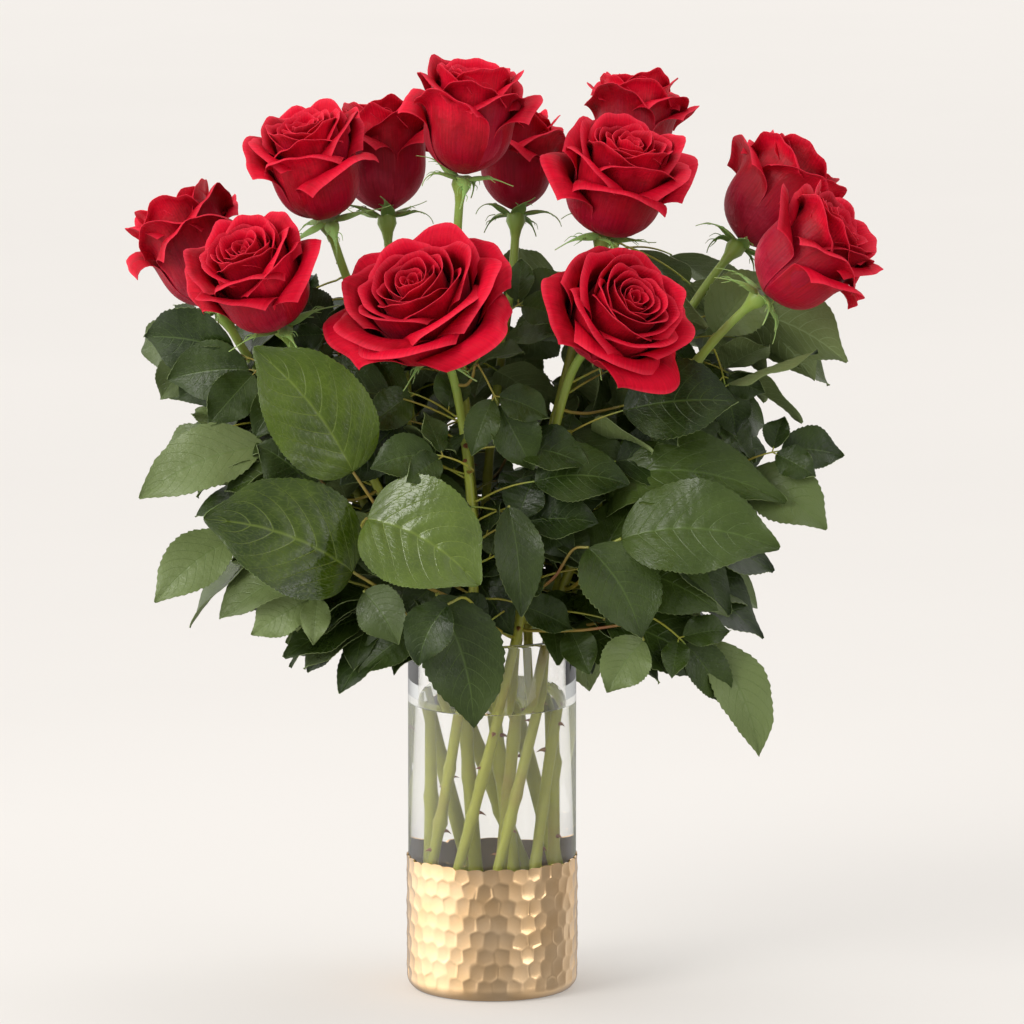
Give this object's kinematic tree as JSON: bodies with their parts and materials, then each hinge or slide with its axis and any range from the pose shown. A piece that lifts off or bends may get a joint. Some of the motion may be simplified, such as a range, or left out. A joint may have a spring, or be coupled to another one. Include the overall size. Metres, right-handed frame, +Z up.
{
  "type": "roses in a vase",
  "caption": "Bouquet of open red roses with their foliage, standing in a straight glass vase with water and a hammered gilt foot.",
  "frame": {"origin": "middle of the flat face that the vase stands on", "axes": "+Z up the vase's axis, -Y towards the front of the bouquet, +X to its right seen from the front"},
  "size_m": [0.4427, 0.2222, 0.5474],
  "materials": {
    "clear_glass": "gloss",
    "hammered_gilt": "satin",
    "still_water": "gloss",
    "crimson_petal": "matte",
    "stem_green": "satin",
    "broad_leaf_green": "gloss",
    "rose_leaf_green": "satin"
  },
  "bodies": {
    "root": {"glass_vase": "clear_glass", "gilded_sleeve": "hammered_gilt", "water": "still_water", "rose_bloom_01": "crimson_petal", "rose_bloom_02": "crimson_petal", "rose_bloom_03": "crimson_petal", "rose_bloom_04": "crimson_petal", "rose_bloom_05": "crimson_petal", "rose_bloom_06": "crimson_petal", "rose_bloom_07": "crimson_petal", "rose_bloom_08": "crimson_petal", "rose_bloom_09": "crimson_petal", "rose_bloom_10": "crimson_petal", "rose_bloom_11": "crimson_petal", "rose_bloom_12": "crimson_petal", "rose_stem_01": "stem_green", "rose_stem_02": "stem_green", "rose_stem_03": "stem_green", "rose_stem_04": "stem_green", "rose_stem_05": "stem_green", "rose_stem_06": "stem_green", "rose_stem_07": "stem_green", "rose_stem_08": "stem_green", "rose_stem_09": "stem_green", "rose_stem_10": "stem_green", "rose_stem_11": "stem_green", "rose_stem_12": "stem_green", "broad_leaf_01": "broad_leaf_green", "broad_leaf_02": "broad_leaf_green", "broad_leaf_03": "broad_leaf_green", "broad_leaf_04": "broad_leaf_green", "broad_leaf_05": "broad_leaf_green", "broad_leaf_06": "broad_leaf_green", "broad_leaf_07": "broad_leaf_green", "rose_leaf_01": "rose_leaf_green", "rose_leaf_02": "rose_leaf_green", "rose_leaf_03": "rose_leaf_green", "rose_leaf_04": "rose_leaf_green", "rose_leaf_05": "rose_leaf_green", "rose_leaf_06": "rose_leaf_green", "rose_leaf_07": "rose_leaf_green", "rose_leaf_08": "rose_leaf_green", "rose_leaf_09": "rose_leaf_green", "rose_leaf_10": "rose_leaf_green", "rose_leaf_11": "rose_leaf_green", "rose_leaf_12": "rose_leaf_green", "rose_leaf_13": "rose_leaf_green", "rose_leaf_14": "rose_leaf_green", "rose_leaflet_01": "rose_leaf_green", "rose_leaflet_02": "rose_leaf_green", "rose_leaflet_03": "rose_leaf_green", "rose_leaflet_04": "rose_leaf_green", "rose_leaflet_05": "rose_leaf_green", "rose_leaflet_06": "rose_leaf_green", "rose_leaflet_07": "rose_leaf_green", "rose_leaflet_08": "rose_leaf_green", "rose_leaflet_09": "rose_leaf_green", "rose_leaflet_10": "rose_leaf_green", "rose_leaflet_11": "rose_leaf_green", "rose_leaflet_12": "rose_leaf_green"}
  },
  "joints": []
}
